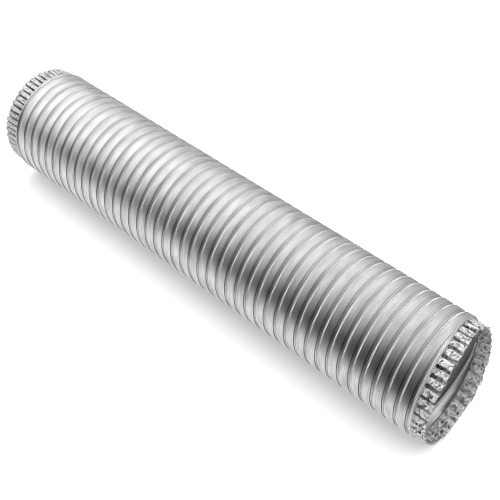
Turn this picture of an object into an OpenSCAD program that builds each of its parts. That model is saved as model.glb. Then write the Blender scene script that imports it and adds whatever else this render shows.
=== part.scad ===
// Flexible aluminium air duct, lying on its side, with a gathered collar at each end.
// One wound strip of foil: a ribbed wall whose last turns are crimped into pleated collars.
// The axis runs along X, the nearer end is at +X, and the duct rests on Z = 0.

/* [Duct] */
// Outside diameter over the ribs
duct_d = 125; // [80:1:200]
// Distance from one groove to the next along the axis
rib_pitch = 13.1; // [9.5:0.1:16]
// Number of grooves from collar to collar
grooves = 44; // [4:1:48]
// Thickness of the folded and knurled wall
wall = 0.6; // [0.5:0.05:0.8]

/* [Groove] */
// Depth of the groove between two ribs
groove_depth = 2.2; // [1.6:0.1:3]
// Length of the groove from the edge of one rib to the rise of the next
groove_length = 4; // [3.5:0.1:4.8]
// Length of the groove's floor before the rise
floor_length = 1.2; // [0.8:0.1:1.4]
// Drop at the sharp edge where a rib ends
edge_step = 0.4; // [0.2:0.05:0.6]
// Length of the sloping strip beyond that edge
strip_length = 1.4; // [1:0.1:1.5]
// Fall of the sloping strip along its length
strip_fall = 0.35; // [0.1:0.05:0.6]
// Length of the steep rise to the next rib
rise_length = 0.4; // [0.2:0.05:0.6]
// Height of the rib's rounded shoulder above the rise
shoulder_drop = 0.3; // [0.1:0.05:0.5]
// Length of the rounded shoulder
shoulder_length = 0.6; // [0.3:0.05:1]

/* [Lips] */
// Radius of the lip where the wall turns in to the collar
lip_r = 2.4; // [1.6:0.1:3]
// Height of the flat ring between the lip and the collar
flange = 0.4; // [0.3:0.1:6]
// Length of full rib kept between a lip and the groove beside it
end_crown = 0.3; // [0.1:0.1:6]

/* [Collars] */
// Length of the near collar outside the lip
near_collar_length = 18; // [8:0.5:40]
// Length of the far collar outside the lip
far_collar_length = 24; // [8:0.5:40]
// Number of pleats round the near collar
near_pleats = 37; // [20:1:48]
// Number of pleats round the far collar, which is gathered more finely
far_pleats = 54; // [20:1:60]
// Share of a pleat's width left open as a gap
gap_share = 0.23; // [0.15:0.01:0.3]
// Reach of each tucked fold inside the collar's wall
fold_depth = 2.6; // [1.5:0.1:4]

/* [Rest] */
// Depth of the flat spot pressed into the ribs by the floor
flat_depth = 0.3; // [0.2:0.05:0.35]

/* [Hidden] */
$fn = 96;
duct_r = duct_d / 2;
collar_r = duct_r - lip_r - flange;
first_rise = lip_r + end_crown + groove_length;
last_rise = first_rise + (grooves - 1) * rib_pitch;
body_length = last_rise + rise_length + shoulder_length + end_crown + lip_r;
total_length = far_collar_length + body_length + near_collar_length;
edge_run = 0.25;
lip_steps = 5;
fold_taper = 0.55;
overlap = 1;

// Outer line of one groove, from the edge of a rib to the shoulder of the next rib at x
function groove_outside(x) = [
    [x - groove_length, duct_r],
    [x - groove_length + edge_run, duct_r - edge_step],
    [x - groove_length + edge_run + strip_length, duct_r - edge_step - strip_fall],
    [x - floor_length, duct_r - groove_depth],
    [x, duct_r - groove_depth],
    [x + rise_length, duct_r - shoulder_drop],
    [x + rise_length + shoulder_length, duct_r]
];

// Inner line of the same groove, one wall thickness inside
function groove_inside(x) = [
    [x - groove_length - edge_run / 2, duct_r - wall],
    [x - groove_length + edge_run / 2, duct_r - edge_step - wall],
    [x - groove_length + edge_run + strip_length - wall / 2, duct_r - edge_step - strip_fall - wall],
    [x - floor_length - wall / 2, duct_r - groove_depth - wall],
    [x + wall, duct_r - groove_depth - wall],
    [x + wall + rise_length, duct_r - shoulder_drop - wall],
    [x + wall + rise_length + shoulder_length / 2, duct_r - wall]
];

// Quarter turn of a lip about its own centre, from the crown of the rib to the end face
function lip_arc(r) = [
    for (step = [0 : lip_steps])
        let (turn = 90 * step / lip_steps)
        [r * sin(turn), r * cos(turn)]
];

// The lip that ends at x, as points from the crown to the flat ring, outside and inside
function lip_outside(x) = [
    for (p = lip_arc(lip_r)) [x - lip_r + p[0], duct_r - lip_r + p[1]]
];
function lip_inside(x) = [
    for (p = lip_arc(lip_r - wall)) [x - lip_r + p[0], duct_r - lip_r + p[1]]
];

function mirrored(points) = [for (p = points) [body_length - p[0], p[1]]];
function reversed(points) = [for (i = [len(points) - 1 : -1 : 0]) points[i]];
function rise_at(i) = first_rise + i * rib_pitch;

// Section of the ribbed wall and its two lips, with x along the axis and y as the radius
function wall_section() = concat(
    [[0, collar_r - wall / 2]],
    reversed(mirrored(lip_outside(body_length))),
    [for (i = [0 : grooves - 1], p = groove_outside(rise_at(i))) p],
    lip_outside(body_length),
    [[body_length, collar_r - wall / 2], [body_length - wall, collar_r - wall / 2]],
    reversed(lip_inside(body_length)),
    reversed([for (i = [0 : grooves - 1], p = groove_inside(rise_at(i))) p]),
    mirrored(lip_inside(body_length)),
    [[wall, collar_r - wall / 2]]
);

// Ribbed wall, turned about the axis and laid along X from 0 to body_length
module ribbed_wall() {
    rotate([90, 0, 90])
        rotate_extrude()
            polygon([for (p = wall_section()) [p[1], p[0]]]);
}

// Outline of one tucked fold: a narrow trapezium reaching in from the collar's wall
module fold_outline(width, outer_r, inner_r) {
    polygon([
        [outer_r, -width / 2],
        [outer_r, width / 2],
        [inner_r, fold_taper * width / 2],
        [inner_r, -fold_taper * width / 2]
    ]);
}

// Section across a gathered collar: broad lands joined by folds tucked inward
module collar_section(pleats) {
    fold_in_r = collar_r - wall - fold_depth;
    gap = gap_share * 2 * PI * collar_r / pleats;
    difference() {
        union() {
            difference() {
                circle(collar_r);
                circle(collar_r - wall);
            }
            for (i = [0 : pleats - 1])
                rotate(360 * (i + 0.5) / pleats)
                    fold_outline(gap + 2 * wall, collar_r - wall / 2, fold_in_r);
        }
        for (i = [0 : pleats - 1])
            rotate(360 * (i + 0.5) / pleats)
                fold_outline(gap, collar_r + overlap, fold_in_r + wall);
    }
}

// Gathered collar from the flat ring inside the lip to its free edge, along +X
module collar(length, pleats) {
    rotate([90, 0, 90])
        linear_extrude(height = length + wall)
            collar_section(pleats);
}

// Whole duct with its flat spot, resting on Z = 0 and centred along X
module duct() {
    color("#c9ccd0")
        translate([far_collar_length - total_length / 2, 0, duct_r - flat_depth])
            difference() {
                union() {
                    ribbed_wall();
                    translate([body_length - wall, 0, 0])
                        collar(near_collar_length, near_pleats);
                    translate([wall, 0, 0])
                        mirror([1, 0, 0])
                            collar(far_collar_length, far_pleats);
                }
                translate([-overlap, -duct_r, -duct_r - overlap])
                    cube([body_length + 2 * overlap, duct_d, flat_depth + overlap]);
            }
}

duct();
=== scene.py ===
"""Flexible aluminium duct: the finish of its wound ribbed wall and its two gathered collars.

The part frame is used throughout, in metres. The duct lies along X with its nearer end at +X.
An angle round the duct is measured about +X, from +Y towards +Z.
"""

import math

import bmesh
import bpy
import numpy as np
from bpy.props import FloatProperty, FloatVectorProperty, IntProperty, PointerProperty
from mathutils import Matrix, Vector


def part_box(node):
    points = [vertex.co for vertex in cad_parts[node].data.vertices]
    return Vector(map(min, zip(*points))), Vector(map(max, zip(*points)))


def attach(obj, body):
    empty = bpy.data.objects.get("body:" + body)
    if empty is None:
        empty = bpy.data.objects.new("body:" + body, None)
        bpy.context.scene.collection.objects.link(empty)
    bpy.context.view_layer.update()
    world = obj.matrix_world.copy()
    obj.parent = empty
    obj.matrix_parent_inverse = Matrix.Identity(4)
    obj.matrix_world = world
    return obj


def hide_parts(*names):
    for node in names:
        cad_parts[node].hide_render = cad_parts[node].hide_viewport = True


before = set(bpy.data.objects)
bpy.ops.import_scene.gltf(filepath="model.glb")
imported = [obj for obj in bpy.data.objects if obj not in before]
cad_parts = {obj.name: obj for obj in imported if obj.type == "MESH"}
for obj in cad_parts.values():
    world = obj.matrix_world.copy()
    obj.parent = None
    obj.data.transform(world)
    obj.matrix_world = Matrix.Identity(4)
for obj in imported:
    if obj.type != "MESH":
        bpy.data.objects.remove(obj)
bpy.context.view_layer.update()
DUCT_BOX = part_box("duct")

bl_info = {
    "name": "Flexible aluminium duct",
    "version": (1, 0, 0),
    "blender": (4, 5, 0),
    "location": "View3D > Sidebar > Duct",
    "description": "Builds a wound, ribbed foil duct with gathered collars around its frame",
    "category": "Add Mesh",
}

TURN = 2 * math.pi


class DuctSizes(bpy.types.PropertyGroup):
    """Sizes of the wound wall and its collars."""

    radius: FloatProperty(
        name="Radius", description="Outside radius over the ribs",
        default=min(DUCT_BOX[1].y, -DUCT_BOX[0].y), unit="LENGTH", subtype="DISTANCE")
    flat: FloatProperty(
        name="Flat", description="How far the floor presses the ribs in",
        default=0.0003, unit="LENGTH", subtype="DISTANCE")
    pitch: FloatProperty(
        name="Pitch", description="Distance that the winding climbs in one turn",
        default=0.0131, unit="LENGTH", subtype="DISTANCE")
    near_collar: FloatProperty(
        name="Near collar", description="Length of the near collar with the lean of its rim",
        default=0.0190, unit="LENGTH", subtype="DISTANCE")
    far_collar: FloatProperty(
        name="Far collar", description="Length of the far collar with the lean of its rim",
        default=0.0252, unit="LENGTH", subtype="DISTANCE")
    skew: FloatProperty(
        name="Skew", description="How far each end leans along the axis to follow the winding",
        default=0.0032, unit="LENGTH", subtype="DISTANCE")
    near_dip: FloatProperty(
        name="Near dip", description="How much further in the near end lies at the back",
        default=0.0055, unit="LENGTH", subtype="DISTANCE")
    lip: FloatProperty(
        name="Lip", description="Radius of the rolled lip at each end",
        default=0.0015, unit="LENGTH", subtype="DISTANCE")
    collar_inset: FloatProperty(
        name="Collar inset", description="How far the collars lie inside the ribs",
        default=0.0028, unit="LENGTH", subtype="DISTANCE")
    first_edge: FloatProperty(
        name="First edge", description="Distance from the far face to the first groove's edge",
        default=0.0027, unit="LENGTH", subtype="DISTANCE")
    foil: FloatProperty(
        name="Foil", description="Thickness of the folded foil wall",
        default=0.0005, unit="LENGTH", subtype="DISTANCE")
    crimps: IntProperty(
        name="Crimps", description="Crimp marks in one turn of the seam", default=170)
    hatch: IntProperty(
        name="Hatch", description="Fine cross lines in one turn of a rib", default=240)
    crimp_depth: FloatProperty(
        name="Crimp depth", description="Depth of the crimp marks across the seam",
        default=0.00065, unit="LENGTH", subtype="DISTANCE")
    near_pleats: IntProperty(
        name="Near pleats", description="Pleats round the near collar", default=37)
    far_pleats: IntProperty(
        name="Far pleats", description="Pleats round the far collar", default=54)
    fold: FloatProperty(
        name="Fold", description="Depth of the tucks between pleats",
        default=0.0026, unit="LENGTH", subtype="DISTANCE")
    flare: FloatProperty(
        name="Flare", description="How far a collar opens towards its free edge",
        default=0.0008, unit="LENGTH", subtype="DISTANCE")
    foil_colour: FloatVectorProperty(
        name="Foil colour", description="Colour of the bare foil",
        default=(0.925, 0.93, 0.94), subtype="COLOR", min=0, max=1)


# The side that faces the photo's camera. The lean of the ends is nil there.
FACING = math.radians(126.4)
# The side where the winding's mesh starts
MESH_START = math.radians(-50)
# The side where most light falls into the slots, and how much of their painted shade that takes away
SLOT_LIGHT_SIDE = math.radians(60)
SLOT_LIGHT_SHARE = 0.85

# One pitch of the wall, from the sharp edge of a rib: distance along, and depth below the ribs.
# A narrow slot, a sloping strip, the groove, the crimped rise, its shoulder and the sloping rib.
STATIONS = np.array([0, 0.10, 0.40, 0.52, 1.9, 3.1, 4.1, 5.0, 5.4, 9.0, 12.75]) / 1000
DEPTHS = np.array([0.48, 1.4, 1.4, 0.95, 1.02, 1.14, 1.2, 0.15, 0, 0.08, 0.32]) / 1000
# How strongly the crimp marks cut each of those stations
CRIMPED = np.array([0, 0, 0, 0.1, 0.5, 1, 1, 0.8, 0.4, 0, 0])
# How much painted shade each of those stations gets from lying in the slot
SLOT_SHADE = np.array([0.5, 1, 1, 0.3, 0, 0, 0, 0, 0, 0, 0])
# The creases of the strip, numbered: the foil is bent sharply there and is flat between them
CREASED = np.array([1, 0, 0, 2, 0, 0, 0, 0, 3, 0, 4])
# The stations that also shape the lining
LINING = np.array([0, 4, 5, 6, 7])
# How much further in the lining lies than the foil's thickness under the deepest crimp
LINING_GAP = 0.0003
# The winding's first and last turns. The ends of the duct cut off what reaches past them.
FIRST_TURN, LAST_TURN = -2, 46
# Distance over which the grooves run out into a lip
RUN_OUT = 0.0008
LIP_STEPS = 6
ROWS_IN_CRIMP = 4
# Depth and shortest wave of the wall's slow unevenness
UNEVEN_DEPTH = 0.00012
UNEVEN_WAVE = 0.09
# Points closer than this are one
MERGE = 2e-6


def sizes():
    """The scene's duct sizes."""
    return bpy.context.scene.duct_sizes


def axis_height(s):
    """Height of the duct's axis above the floor."""
    return s.radius - s.flat


def winding_start(s):
    """Where the first groove's edge lies along X at the angle FACING."""
    return DUCT_BOX[0].x + s.far_collar + s.first_edge


def back_side(angle):
    """0 over the front and the underside, rising to 1 at the upper back, as a squared sine."""
    return np.maximum(-np.sin(angle - FACING), 0) ** 2


def painted_slot_shade_share(angle):
    """How much painted shade a slot keeps: 1 where it opens to the front or down, less where light
    falls in.

    The loss is SLOT_LIGHT_SHARE times the cosine of the angle from SLOT_LIGHT_SIDE.
    """
    return 1 - SLOT_LIGHT_SHARE * np.maximum(np.cos(angle - SLOT_LIGHT_SIDE), 0)


def end_faces(s, angle):
    """Where the body's far and near faces lie along X at an angle.

    Each leans with the winding, so it moves as the sine of the angle from FACING. The near end
    was crimped further in at the back.
    """
    lean = s.skew * np.sin(angle - FACING)
    far = DUCT_BOX[0].x + s.far_collar + lean
    near = DUCT_BOX[1].x - s.near_collar + lean - s.near_dip * back_side(angle)
    return far, near


def ripple(angle, x, seed, waves, shortest):
    """A smooth, slow unevenness from -1 to 1, the mean of a few cosines.

    Each cosine has a whole number of waves round the duct and a random wave number along it.
    """
    random = np.random.default_rng(seed)
    total = 0
    for _ in range(waves):
        around = random.integers(0, 9)
        along = random.uniform(0.3, 1) * TURN / shortest
        total = total + np.cos(around * angle + along * x + random.uniform(0, TURN))
    return total / waves


def creased(angle, x, seed, size, radius):
    """A folded-foil unevenness from -1 to 1, the mean of five triangle waves.

    Each wave has a random heading, a length of about size and a whole number of waves round the duct.
    """
    random = np.random.default_rng(seed)
    waves = 5
    total = 0
    for _ in range(waves):
        heading = random.uniform(0, TURN)
        length = size * random.uniform(0.7, 1.5)
        around = round(TURN * radius * math.cos(heading) / length)
        phase = around * angle / TURN + x * math.sin(heading) / length + random.uniform(0, 1)
        total = total + 4 * np.abs(phase - np.floor(phase + 0.5)) - 1
    return total / waves


def ring_points(s, x, r, angle):
    """Points at distance r from the duct's axis, pressed flat where they would sink into the floor."""
    z = axis_height(s) + r * np.sin(angle)
    return np.stack([x + 0 * r, r * np.cos(angle) + 0 * x, np.maximum(z, 0)], axis=-1)


def keep_values(mesh, name, kind, number, values):
    """Keeps one value at each point of a mesh, as an attribute of that name."""
    mesh.attributes.new(name, kind, "POINT")
    mesh.attributes[name].data.foreach_set("value", values.reshape(-1).astype(number))


def sharpen(mesh):
    """Marks the edges that run along one crease, so that the faces beside it are shaded apart."""
    line = np.zeros(len(mesh.vertices), dtype=np.int32)
    mesh.attributes["crease"].data.foreach_get("value", line)
    ends = np.zeros(2 * len(mesh.edges), dtype=np.int32)
    mesh.edges.foreach_get("vertices", ends)
    first, second = line[ends[::2]], line[ends[1::2]]
    mesh.edges.foreach_set("use_edge_sharp", (first > 0) & (first == second))
    mesh.attributes.remove(mesh.attributes["crease"])


def new_piece(name, points, inward=False, dark=None, crease=None):
    """A mesh object from a grid of points, rows round the duct and columns along it.

    Points that coincide are merged, which closes the tube and takes out the columns that the
    ends cut off. The faces turn outwards, or towards the axis where inward is true. The argument
    after inward is each point's painted shade, by how far it lies in a narrow fold, and is kept
    as an attribute of that name. crease numbers the points that lie along a crease.
    """
    rows, columns = points.shape[:2]
    corner = np.arange(rows * columns).reshape(rows, columns)
    a, b = corner[:-1, :-1], corner[:-1, 1:]
    c, d = corner[1:, 1:], corner[1:, :-1]
    order = (a, b, c, d) if inward else (d, c, b, a)
    faces = np.stack(order, axis=-1).reshape(-1, 4)
    mesh = bpy.data.meshes.new(name)
    mesh.vertices.add(rows * columns)
    mesh.vertices.foreach_set("co", points.reshape(-1).astype(np.float32))
    mesh.loops.add(faces.size)
    mesh.loops.foreach_set("vertex_index", faces.reshape(-1).astype(np.int32))
    mesh.polygons.add(len(faces))
    mesh.polygons.foreach_set("loop_start", np.arange(0, faces.size, 4, dtype=np.int32))
    mesh.update(calc_edges=True)
    if dark is not None:
        keep_values(mesh, "dark", "FLOAT", np.float32, dark)
    if crease is not None:
        keep_values(mesh, "crease", "INT", np.int32, crease)
    merged = bmesh.new()
    merged.from_mesh(mesh)
    bmesh.ops.remove_doubles(merged, verts=merged.verts, dist=MERGE)
    for face in merged.faces:
        face.smooth = True
    merged.to_mesh(mesh)
    merged.free()
    if crease is not None:
        sharpen(mesh)
    piece = bpy.data.objects.new(name, mesh)
    bpy.context.scene.collection.objects.link(piece)
    return piece


def finish_piece(piece, material):
    """Gives a piece its material and ties it to the frame."""
    piece.data.materials.append(material)
    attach(piece, "root")
    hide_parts("duct")


def repeated(values, times):
    """The values of one pitch or pleat, repeated and closed with the first of them."""
    return np.append(np.tile(values, times), values[0])


def winding(s, first, last, angle, stations, depths):
    """Distance along X and depth of the wound wall, for the turns from first to last.

    A station's place is its distance from the sharp edge, plus one pitch for each turn, plus
    the climb of the winding, which is one pitch in a full turn. The depth runs out smoothly
    into the lips.
    """
    turns = np.arange(first, last)
    along = (turns[:, None] * s.pitch + stations).reshape(-1)
    along = np.append(along, last * s.pitch)
    depth = repeated(depths, len(turns))
    far, near = end_faces(s, angle)
    x = winding_start(s) + s.pitch * (angle - FACING) / TURN + along
    low, high = far + s.lip, near - s.lip
    x = np.clip(x, low, high)
    from_end = np.minimum(x - low, high - x) / RUN_OUT
    shown = np.clip(from_end, 0, 1)
    return x, depth * shown * shown * (3 - 2 * shown), shown


def lip_columns(face, side, lip_radius, crown, inner_radius):
    """The rolled lip as columns from its flat ring to the crown of the rib.

    A quarter circle from the end face to the crown, which side, -1 or 1, turns to face -X or +X.
    """
    turn = np.linspace(math.pi / 2, 0, LIP_STEPS)
    x = face - side * lip_radius * (1 - np.sin(turn))
    r = crown - lip_radius * (1 - np.cos(turn)) + 0 * face
    x = np.concatenate([face + 0 * turn[:1], x], axis=1)
    r = np.concatenate([inner_radius + 0 * face, r], axis=1)
    return x, r


def joined(left, right):
    """Two strips of the wall side by side, each a list of grids of the same values."""
    return [np.concatenate(pair, axis=1) for pair in zip(left, right)]


def make_wall(s, name, first, last, material, far_lip=False, near_lip=False):
    """One length of the outside of the wound wall, as a grid of the angle and the stations.

    The distance from the axis is the ribs' radius, less the groove's depth at each station, less
    the crimp marks, which are raised cosines, less a slight unevenness.
    """
    rows = ROWS_IN_CRIMP * s.crimps
    angle = (MESH_START + np.linspace(0, TURN, rows + 1))[:, None]
    x, depth, shown = winding(s, first, last, angle, STATIONS, DEPTHS)
    turns = last - first
    cut = repeated(CRIMPED, turns) * shown
    # Painted shade in the slots, lighter on the upper side where light falls in
    dark = repeated(SLOT_SHADE, turns) * shown * painted_slot_shade_share(angle)
    crease = repeated(CREASED, turns) + 0 * dark
    crimp = 0.5 + 0.5 * np.cos(s.crimps * (angle - MESH_START))
    uneven = UNEVEN_DEPTH * (1 + ripple(angle, x, seed=3, waves=9, shortest=UNEVEN_WAVE)) * shown
    r = s.radius - depth - s.crimp_depth * crimp * cut - uneven
    far, near = end_faces(s, angle)
    inner = s.radius - s.collar_inset - s.foil / 2
    strip = [x, r, dark, crease]
    if far_lip:
        lip_x, lip_r = lip_columns(far, -1, s.lip, s.radius, inner)
        strip = joined([lip_x, lip_r, 0 * lip_x, 0 * lip_x], strip)
    if near_lip:
        lip_x, lip_r = lip_columns(near, 1, s.lip, s.radius, inner)
        strip = joined(strip, [lip_x[:, ::-1], lip_r[:, ::-1], 0 * lip_x, 0 * lip_x])
    x, r, dark, crease = strip
    piece = new_piece(name, ring_points(s, x, r, angle), dark=dark, crease=crease)
    finish_piece(piece, material)


def make_lining(s, material, first, last):
    """The inside of the wound wall and its two lips, one foil thickness in."""
    angle = (MESH_START + np.linspace(0, TURN, s.crimps + 1))[:, None]
    x, depth, shown = winding(s, first, last, angle, STATIONS[LINING], DEPTHS[LINING])
    r = s.radius - s.foil - s.crimp_depth - LINING_GAP - depth + 0 * x
    far, near = end_faces(s, angle)
    inner = s.radius - s.collar_inset - s.foil
    small = s.lip - s.foil
    far_x, far_r = lip_columns(far + s.foil, -1, small, s.radius - s.foil, inner)
    near_x, near_r = lip_columns(near - s.foil, 1, small, s.radius - s.foil, inner)
    x, r = joined([far_x, far_r], [x, r])
    x, r = joined([x, r], [near_x[:, ::-1], near_r[:, ::-1]])
    piece = new_piece("duct_lining", ring_points(s, x, r, angle), inward=True)
    finish_piece(piece, material)


# One pleat of a collar: share of the pleat's width, and share of the tuck's depth
LAND = np.linspace(0, 0.64, 9)
TUCK = np.array([0.655, 0.675, 0.71, 0.82, 0.93, 0.965, 0.985])
TUCK_CENTRE = 0.82
TUCK_DEPTH = np.array([0.35, 0.8, 1.0, 1.0, 1.0, 0.8, 0.35])
COLLAR_FOIL = 0.00025
# How far a pleat's middle may wander, as a share of its width, and how shallow a tuck may be
WANDER = 0.09
SHALLOWEST = 0.75
# How much shorter a whole pleat and each of its points may be cut
PLEAT_CUT = 0.0014
POINT_CUT = 0.0010
# Distance between the rows of a collar, and the distance over which its crushing sets in
COLLAR_STEP = 0.0006
CRUSH_RUN = 0.003
# Depth and size of the coarse and the fine crushing, and how far in both are set
COARSE_DEPTH, COARSE_SIZE = 0.0008, 0.0052
FINE_DEPTH, FINE_SIZE = 0.0007, 0.0026
CRUSH_INSET = 0.0002
# Share of the crushing that reaches a tuck's floor
TUCK_CRUSH = 0.4
# Size of the sideways sway, its reach as a share of a pleat, and how much tucks and lands take
SWAY_SIZE = 0.004
SWAY = 0.048
TUCK_SWAY, LAND_SWAY = 0.5, 0.25
# How much of a tuck's painted shade is gone at the free edge
TUCK_SHADE_FADE = 0.45


def make_collar(s, name, side, pleats, length, seed, outside, inside):
    """A gathered collar: broad lands and narrow tucks round the duct, crumpled and cut unevenly.

    The outline round the axis repeats one pleat. It is carried straight along X from the body's
    face, opens slightly by the flare, and is moved in and out by folded-foil unevenness.
    """
    share = np.concatenate([LAND, TUCK])
    tuck = np.concatenate([0 * LAND, TUCK_DEPTH])
    index = np.arange(pleats)[:, None]
    random = np.random.default_rng(seed)
    wander = random.uniform(-WANDER, WANDER, (pleats, 1))
    place = (index + share + wander * np.sin(math.pi * share)).reshape(-1)
    place = np.append(place, pleats)
    tuck_all = repeated(tuck, pleats)
    deep = np.append(np.repeat(random.uniform(SHALLOWEST, 1, pleats), len(share)), 1)
    cut = random.uniform(0, PLEAT_CUT, pleats)[:, None]
    cut = cut + random.uniform(0, POINT_CUT, (pleats, len(share)))
    cut = np.append(cut.reshape(-1), cut[0, 0])
    angle = (TURN * (place + 0.5 - TUCK_CENTRE) / pleats)[:, None]
    steps = np.linspace(0, 1, round(length / COLLAR_STEP))
    far, near = end_faces(s, angle)
    face = near if side > 0 else far
    run = length - s.skew + s.foil - cut[:, None]
    along = -s.foil + steps * run
    x = face + side * along
    radius = s.radius - s.collar_inset
    grown = np.clip(along / CRUSH_RUN, 0, 1)
    land = 1 - tuck_all[:, None]
    crush = COARSE_DEPTH * creased(angle, x, seed, COARSE_SIZE, radius)
    crush = crush + FINE_DEPTH * creased(angle, x, seed + 1, FINE_SIZE, radius)
    crush = (crush - CRUSH_INSET) * grown * (TUCK_CRUSH + (1 - TUCK_CRUSH) * land)
    tucked = (tuck_all * deep)[:, None]
    r = radius + s.flare * steps ** 2 - s.fold * tucked + crush
    sway = SWAY * creased(angle, x, seed + 2, SWAY_SIZE, radius) * grown * TURN / pleats
    moved = angle + np.where(tuck_all[:, None] > 0, TUCK_SWAY, LAND_SWAY) * sway
    # Painted shade in the tucks, lighter towards the free edge
    dark = tucked * (1 - TUCK_SHADE_FADE * steps ** 2)
    piece = new_piece(name, ring_points(s, x, r, moved), inward=side < 0, dark=dark)
    shell = piece.modifiers.new("foil", "SOLIDIFY")
    shell.thickness = COLLAR_FOIL
    shell.offset = -1
    shell.material_offset = 1
    finish_piece(piece, outside)
    piece.data.materials.append(inside)


class Wire:
    """A node's output. Python's operators on it add the Math nodes that work them out."""

    def __init__(self, shader, socket):
        self.shader = shader
        self.socket = socket

    def math(self, operation, *others):
        """The result of one Math node with this value first."""
        return self.shader.node("ShaderNodeMath", {"operation": operation}, [self, *others])

    def clamped(self):
        """The value kept between 0 and 1."""
        return self.math("MINIMUM", 1).math("MAXIMUM", 0)

    def __add__(self, other):
        return self.math("ADD", other)

    __radd__ = __add__

    def __mul__(self, other):
        return self.math("MULTIPLY", other)

    __rmul__ = __mul__

    def __sub__(self, other):
        return self.math("SUBTRACT", other)

    def __rsub__(self, other):
        return self.math("MULTIPLY", -1) + other

    def __truediv__(self, other):
        return self.math("DIVIDE", other)


# The colour sockets of a Mix node, by number, because other types share their names
COLOUR_A, COLOUR_B, COLOUR_RESULT = 6, 7, 2
# The outputs of a Texture Coordinate, an Attribute and a Voronoi node that are used here
OBJECT_PLACE, ATTRIBUTE_VALUE, CELL_CENTRE = 3, 2, 2


class Shader:
    """A material that is built one node at a time."""

    def __init__(self, name):
        self.material = bpy.data.materials.new(name)
        self.material.use_nodes = True
        self.tree = self.material.node_tree
        self.tree.nodes.clear()

    def node(self, kind, settings=None, values=None, output=0):
        """Adds a node of a kind, sets it up, fills its sockets and gives one of its outputs."""
        made = self.tree.nodes.new(kind)
        for key, value in (settings or {}).items():
            if key == "ramp":
                self.fill_ramp(made.color_ramp, value)
            else:
                setattr(made, key, value)
        pairs = enumerate(values) if isinstance(values, list) else (values or {}).items()
        for key, value in pairs:
            if isinstance(value, Wire):
                self.tree.links.new(value.socket, made.inputs[key])
            else:
                made.inputs[key].default_value = value
        return Wire(self, made.outputs[output]) if len(made.outputs) else made

    def fill_ramp(self, ramp, stops):
        """Sets a ramp's stops, each a place and a grey value."""
        while len(ramp.elements) < len(stops):
            ramp.elements.new(0.5)
        for element, (place, grey) in zip(ramp.elements, stops):
            element.position = place
            element.color = (grey, grey, grey, 1)

    def place(self):
        """A point's place in the object's own frame."""
        return self.node("ShaderNodeTexCoord", None, None, output=OBJECT_PLACE)

    def parts(self, place):
        """The three parts of a place."""
        split = self.node("ShaderNodeSeparateXYZ", None, [place]).socket.node
        return [Wire(self, output) for output in split.outputs]

    def attribute(self, name):
        """An attribute of the piece, as a value."""
        return self.node("ShaderNodeAttribute", {"attribute_name": name}, None, output=ATTRIBUTE_VALUE)

    def ramp(self, factor, stops):
        """A grey ramp over a factor."""
        return self.node("ShaderNodeValToRGB", {"ramp": stops}, {"Fac": factor})

    def noise(self, place, scale, detail):
        """A smooth noise from 0 to 1 at a place."""
        values = {"Vector": place, "Scale": scale, "Detail": detail}
        return self.node("ShaderNodeTexNoise", None, values)

    def vector(self, x, y):
        """A place on a flat sheet, for a pattern that follows the foil."""
        return self.node("ShaderNodeCombineXYZ", None, [x, y, 0.0])

    def grey(self, value):
        """A value as a grey colour."""
        return self.node("ShaderNodeCombineColor", None, [value, value, value])

    def finish(self, colour, roughness, metallic, height, distance, bump):
        """Ends in a metal whose colour, roughness, bareness and height vary."""
        values = {"Height": height, "Distance": distance, "Strength": bump}
        normal = self.node("ShaderNodeBump", None, values)
        metal = self.node("ShaderNodeBsdfPrincipled", None, {
            "Base Color": colour, "Roughness": roughness, "Metallic": metallic, "Normal": normal})
        self.node("ShaderNodeOutputMaterial", None, {"Surface": metal})
        return self.material

    def glow(self, light):
        """Ends in a grey glow whose brightness varies."""
        shine = self.node("ShaderNodeEmission", None, {"Color": self.grey(light), "Strength": 1.0})
        self.node("ShaderNodeOutputMaterial", None, {"Surface": shine})
        return self.material


def tinted(shader, colour, shade):
    """The colour multiplied by a shade."""
    settings = {"data_type": "RGBA", "blend_type": "MULTIPLY"}
    values = {"Factor": 1.0, COLOUR_A: (*colour, 1), COLOUR_B: shader.grey(shade)}
    return shader.node("ShaderNodeMix", settings, values, output=COLOUR_RESULT)


def turn_at(s, y, z):
    """A place's angle about the duct's axis, in turns from +Y towards +Z."""
    return y.math("ARCTAN2", z - axis_height(s)) / -TURN + 0.25


# Where the ribs, the crimped rise and the painted-shade dash marks on the strip lie in one pitch, as
# ramp stops
RIB_STOPS = [(0.0, 0.0), (0.44, 0.0), (0.50, 1.0), (0.97, 1.0), (1.0, 0.0)]
CRIMP_STOPS = [(0.0, 0.0), (0.26, 0.0), (0.29, 1.0), (0.41, 1.0), (0.44, 0.0)]
DASH_STOPS = [(0.0, 0.0), (0.10, 0.0), (0.13, 1.0), (0.18, 1.0), (0.21, 0.0)]
# Fine lines along the strip in one pitch
LINES_IN_PITCH = 6
# The foil's least roughness. Below it the renderer's noise removal smooths the crimps away.
FOIL_ROUGHNESS = 0.275
# Height and strength of the bump on plain and on crushed foil
KNURL_HEIGHT, KNURL_BUMP = 0.00018, 0.8
CRUMPLE_HEIGHT, CRUMPLE_BUMP = 0.0006, 1.0
# Facets of the crushed foil in a metre along the duct and in a turn round it
FACETS_ALONG, FACETS_ROUND = 560, 170


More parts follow.
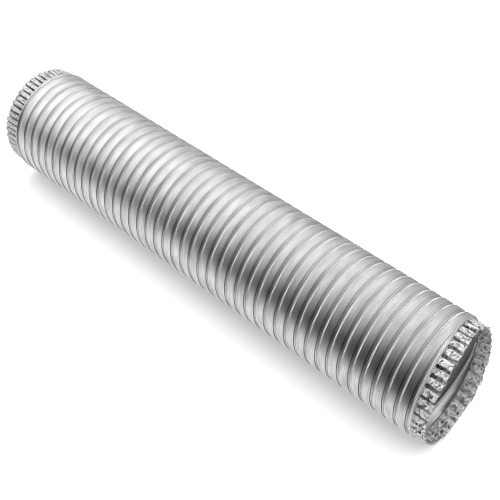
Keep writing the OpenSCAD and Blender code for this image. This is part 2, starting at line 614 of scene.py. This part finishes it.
def knurled_foil(s):
    """Bright rolled foil: fine knurling on the ribs, plain in the grooves, slightly uneven,
    with painted shade in the slots, the crimp marks and from rib to rib.
    """
    shader = Shader("knurled_foil")
    place = shader.place()
    x, y, z = shader.parts(place)
    turn = turn_at(s, y, z)
    climb = (x - winding_start(s)) / s.pitch - turn + FACING / TURN
    phase = climb.math("FRACT")
    rib = shader.ramp(phase, RIB_STOPS)
    dots = shader.ramp(phase, CRIMP_STOPS)
    painted_dashes = shader.ramp(phase, DASH_STOPS)
    wave = ((turn * TURN - MESH_START) * s.crimps).math("COSINE") * 0.9 + 0.5
    crimp = wave.clamped()
    cross = (turn * (TURN * s.hatch)).math("SINE")
    lines = (climb * (TURN * LINES_IN_PITCH)).math("SINE")
    streaks = shader.noise(shader.vector(climb * 10, turn * 20), 1.0, 3.0)
    # The second noise is a painted shade that changes from rib to rib, standing in for each rib's
    # slightly different tilt
    clouds = shader.noise(shader.vector(climb * 1.7, turn * 16), 1.0, 2.0)
    blotch = shader.noise(place, 55.0, 3.0)
    grain = shader.noise(place, 700.0, 2.0)
    height = (cross * 0.27 + lines * 0.30) * rib + streaks * 1.0 + grain * 0.25 + blotch * 0.6
    roughness = blotch * 0.06 + streaks * 0.05 + FOIL_ROUGHNESS
    metallic = 1 - (1 - crimp) * dots
    # Painted shade: darker in the crimp marks' recesses and in the dash marks beside the slot, and
    # slightly darker along the fine knurl lines and the lines along each rib
    painted_crimp_and_knurl_shade = (1 - crimp * (dots * 0.95 + painted_dashes * 0.7)) * (0.84 - (cross * 0.12 + lines * 0.08) * rib)
    # Painted shade in the slots
    slot_painted_shade = 1 - shader.attribute("dark") * 0.95
    shade = (1.36 - streaks * 0.6) * (1.42 - clouds * 0.86) * slot_painted_shade * painted_crimp_and_knurl_shade
    colour = tinted(shader, s.foil_colour, shade)
    return shader.finish(colour, roughness, metallic, height, KNURL_HEIGHT, KNURL_BUMP)


def crumpled_foil(s, name, fold_shade_depth, metallic, facet_shade_depth):
    """Bright foil crushed by gathering: small creased facets, each with a random painted shade,
    and painted shade in the folds between the pleats.
    """
    shader = Shader(name)
    place = shader.place()
    x, y, z = shader.parts(place)
    settings = {"feature": "F1", "distance": "MANHATTAN"}
    values = {"Vector": place, "Scale": float(FACETS_ALONG)}
    cells = shader.node("ShaderNodeTexVoronoi", settings, values)
    around = shader.vector(x * FACETS_ALONG, turn_at(s, y, z) * FACETS_ROUND)
    values = {"Vector": around, "Scale": 1.0}
    centre = shader.node("ShaderNodeTexVoronoi", None, values, output=CELL_CENTRE)
    facets = shader.node("ShaderNodeTexWhiteNoise", None, [centre])
    blotch = shader.noise(place, 240.0, 2.0)
    grain = shader.noise(place, 1200.0, 1.0)
    height = cells * 0.9 + blotch * 0.9
    roughness = blotch * 0.05 + grain * 0.04 + FOIL_ROUGHNESS
    # Painted shade: a random grey for each facet, standing in for the light its tilt catches, and
    # darkening in the tucks between the pleats
    shade = (1 - facets * facets * facet_shade_depth) * (1 - shader.attribute("dark") * fold_shade_depth)
    colour = tinted(shader, s.foil_colour, shade)
    return shader.finish(colour, roughness, metallic, height, CRUMPLE_HEIGHT, CRUMPLE_BUMP)


class DUCT_OT_wall(bpy.types.Operator):
    """Make the outside of the wound, ribbed wall in four lengths"""

    bl_idname = "duct.wall"
    bl_label = "Wound wall"

    def execute(self, context):
        s = sizes()
        foil = knurled_foil(s)
        make_wall(s, "duct_wall_far", FIRST_TURN, 11, foil, far_lip=True)
        make_wall(s, "duct_wall_far_middle", 11, 22, foil)
        make_wall(s, "duct_wall_near_middle", 22, 33, foil)
        make_wall(s, "duct_wall_near", 33, LAST_TURN, foil, near_lip=True)
        return {"FINISHED"}


class DUCT_OT_lining(bpy.types.Operator):
    """Make the inside of the wound, ribbed wall"""

    bl_idname = "duct.lining"
    bl_label = "Lining"

    def execute(self, context):
        make_lining(sizes(), bpy.data.materials["knurled_foil"], FIRST_TURN, LAST_TURN)
        return {"FINISHED"}


class DUCT_OT_collars(bpy.types.Operator):
    """Make the two gathered, pleated collars"""

    bl_idname = "duct.collars"
    bl_label = "Gathered collars"

    def execute(self, context):
        s = sizes()
        # The three copies differ in how deep their painted facet and fold shade is and in how bare of
        # metal they are
        outside = crumpled_foil(s, "crumpled_foil", fold_shade_depth=0.92, metallic=0.6, facet_shade_depth=0.92)
        gathered = crumpled_foil(s, "gathered_foil", fold_shade_depth=0.95, metallic=0.85, facet_shade_depth=0.55)
        inside = crumpled_foil(s, "crumpled_foil_inside", fold_shade_depth=0.5, metallic=0.5, facet_shade_depth=0.85)
        make_collar(s, "duct_collar_near", 1, s.near_pleats, s.near_collar, 11, outside, inside)
        make_collar(s, "duct_collar_far", -1, s.far_pleats, s.far_collar, 23, gathered, inside)
        return {"FINISHED"}


# The floor and the studio light
FLOOR_REACH = 4.0
FLOOR_COLOUR = (0.93, 0.93, 0.93)
FLOOR_ROUGHNESS = 0.9
STUDIO_LIGHT = 1.33
SOFTBOX_AT = (0.0, 0.25, 1.35)
SOFTBOX_AIM = (0.0, 0.0, 0.0)
SOFTBOX_WIDTH, SOFTBOX_DEPTH = 3.2, 1.9
SOFTBOX_POWER = 20.0

# The tent and the ground that the foil reflects
TENT_RADIUS = 1.2
TENT_REACH = 3.0
GROUND_REACH = 1.2
GROUND_LIFT = 0.0004
# Brightness of the tent by angle over the duct, as shares of half a turn, above each end
NEAR_LIGHT = [(0.0, 0.01), (0.17, 0.012), (0.24, 0.18), (0.35, 0.41), (0.46, 0.70),
              (0.70, 0.94), (0.80, 0.96), (0.88, 0.62), (0.94, 0.38), (1.0, 0.33)]
FAR_LIGHT = [(0.0, 0.05), (0.06, 0.08), (0.13, 0.32), (0.24, 1.14), (0.35, 1.46),
             (0.69, 1.4), (0.76, 0.90), (0.88, 0.58), (0.94, 0.42), (1.0, 0.38)]
NEAR_X = -0.12
FAR_X = -1.4
# Where the pale ground ends on the -Y side, at X = 0 and for each metre towards +X
PALE_EDGE = 0.293
PALE_SLOPE = -0.36
# Change of the ground's brightness for each metre towards +X
GROUND_SLOPE = -0.4
# Brightness of the ground from the back, under the duct, to the pale edge and beyond it; it is lower
# under the duct as a painted shadow
GROUND_LIGHT = [(0.0, 0.46), (0.44, 0.44), (0.50, 0.46), (0.56, 0.72), (0.62, 0.96), (0.69, 0.96),
                (0.77, 0.02), (1.0, 0.02)]

CAMERA_AT = (0.4979, -0.4909, 0.7274)
CAMERA_DOWN = math.radians(44.8)
CAMERA_HEADING = math.radians(42.98)
CAMERA_LENS = 64.7
CAMERA_SENSOR = 36
CAMERA_NEAREST = 0.01
# How many pixels wide the film blurs a point: the photograph is crisp
FILM_SOFTNESS = 0.8


def reflected_only(made):
    """Marks a stage piece that shows only in the foil."""
    made.visible_camera = False
    made.visible_diffuse = False
    made.visible_shadow = False


def flat_sheet(name, half_x, half_y, height, material):
    """A level sheet round the origin, at a height."""
    corners = [(-half_x, -half_y, height), (half_x, -half_y, height)]
    corners = corners + [(half_x, half_y, height), (-half_x, half_y, height)]
    mesh = bpy.data.meshes.new(name)
    mesh.from_pydata(corners, [], [(0, 1, 2, 3)])
    mesh.materials.append(material)
    made = bpy.data.objects.new(name, mesh)
    bpy.context.scene.collection.objects.link(made)
    return made


def floor_material():
    """A pale, dull floor."""
    shader = Shader("pale_floor")
    grain = shader.noise(shader.place(), 40.0, 1.0)
    paint = shader.node("ShaderNodeBsdfPrincipled", None, {
        "Base Color": (*FLOOR_COLOUR, 1), "Roughness": grain * 0.02 + FLOOR_ROUGHNESS})
    shader.node("ShaderNodeOutputMaterial", None, {"Surface": paint})
    return shader.material


def ground_material():
    """A glow that is lower under the duct, as a painted shadow, pale beside it, and falls off beyond
    the pale edge.
    """
    shader = Shader("ground_glow")
    x, y, z = shader.parts(shader.place())
    edge = x * PALE_SLOPE + PALE_EDGE
    share = y / edge * -0.25 + 0.5
    return shader.glow(shader.ramp(share, GROUND_LIGHT) * (x * GROUND_SLOPE + 1))


def tent_material():
    """A glow that follows the angle over the duct and changes from the far end to the near one."""
    shader = Shader("tent_glow")
    x, y, z = shader.parts(shader.place())
    angle = z.math("ARCTAN2", y * -1) / math.pi
    near = shader.ramp(angle, NEAR_LIGHT)
    far = shader.ramp(angle, FAR_LIGHT)
    share = ((x - FAR_X) / (NEAR_X - FAR_X)).clamped()
    return shader.glow(near * share + far * (1 - share))


def make_tent(material):
    """The light tent that the foil reflects: a half cylinder over the duct, along X.

    A point lies at the tent's radius from the X axis, at an angle that runs from 0 to 180 degrees
    from the -Y side over the top to the back.
    """
    angle = np.linspace(0, math.pi, 49)[:, None]
    x = np.linspace(-TENT_REACH, TENT_REACH, 3)[None, :]
    y = -TENT_RADIUS * np.cos(angle) + 0 * x
    z = TENT_RADIUS * np.sin(angle) + 0 * x
    made = new_piece("tent", np.stack([x + 0 * y, y, z], axis=-1), inward=True)
    made.data.materials.append(material)
    reflected_only(made)


def make_softbox():
    """A large soft lamp over the duct, which the foil doesn't reflect."""
    data = bpy.data.lights.new("softbox", "AREA")
    data.shape = "RECTANGLE"
    data.size, data.size_y = SOFTBOX_WIDTH, SOFTBOX_DEPTH
    data.energy = SOFTBOX_POWER
    made = bpy.data.objects.new("softbox", data)
    made.location = SOFTBOX_AT
    toward = Vector(SOFTBOX_AIM) - Vector(SOFTBOX_AT)
    made.rotation_euler = toward.to_track_quat("-Z", "Y").to_euler()
    made.visible_camera = False
    made.visible_glossy = False
    bpy.context.scene.collection.objects.link(made)


def make_camera(scene):
    """The camera at the photograph's viewing angle."""
    data = bpy.data.cameras.new("camera")
    data.lens = CAMERA_LENS
    data.sensor_width = CAMERA_SENSOR
    data.clip_start = CAMERA_NEAREST
    made = bpy.data.objects.new("camera", data)
    made.location = CAMERA_AT
    made.rotation_euler = (math.pi / 2 - CAMERA_DOWN, 0, CAMERA_HEADING)
    scene.collection.objects.link(made)
    scene.camera = made


class DUCT_OT_stage(bpy.types.Operator):
    """Make the pale floor, the soft studio light and the camera"""

    bl_idname = "duct.stage"
    bl_label = "Stage"

    def execute(self, context):
        scene = context.scene
        floor = flat_sheet("floor", FLOOR_REACH, FLOOR_REACH, 0, floor_material())
        make_tent(tent_material())
        ground = flat_sheet("ground", 2 * GROUND_REACH, GROUND_REACH, GROUND_LIFT, ground_material())
        reflected_only(ground)
        world = bpy.data.worlds.new("studio")
        world.use_nodes = True
        world.node_tree.nodes["Background"].inputs["Color"].default_value = (1, 1, 1, 1)
        world.node_tree.nodes["Background"].inputs["Strength"].default_value = STUDIO_LIGHT
        scene.world = world
        make_softbox()
        make_camera(scene)
        scene.view_settings.view_transform = "Standard"
        scene.cycles.filter_width = FILM_SOFTNESS
        return {"FINISHED"}


class DUCT_PT_panel(bpy.types.Panel):
    """The duct's sizes and the steps that make it"""

    bl_idname = "DUCT_PT_panel"
    bl_label = "Flexible duct"
    bl_space_type = "VIEW_3D"
    bl_region_type = "UI"
    bl_category = "Duct"

    def draw(self, context):
        for name in DuctSizes.__annotations__:
            self.layout.prop(context.scene.duct_sizes, name)
        for step in (DUCT_OT_wall, DUCT_OT_lining, DUCT_OT_collars, DUCT_OT_stage):
            self.layout.operator(step.bl_idname)


CLASSES = (DuctSizes, DUCT_OT_wall, DUCT_OT_lining, DUCT_OT_collars, DUCT_OT_stage, DUCT_PT_panel)


def register():
    for made in CLASSES:
        bpy.utils.register_class(made)
    bpy.types.Scene.duct_sizes = PointerProperty(type=DuctSizes)


def unregister():
    del bpy.types.Scene.duct_sizes
    for made in reversed(CLASSES):
        bpy.utils.unregister_class(made)


def main():
    """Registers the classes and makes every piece."""
    register()
    bpy.ops.duct.wall()
    bpy.ops.duct.lining()
    bpy.ops.duct.collars()
    bpy.ops.duct.stage()


if __name__ == "__main__":
    main()
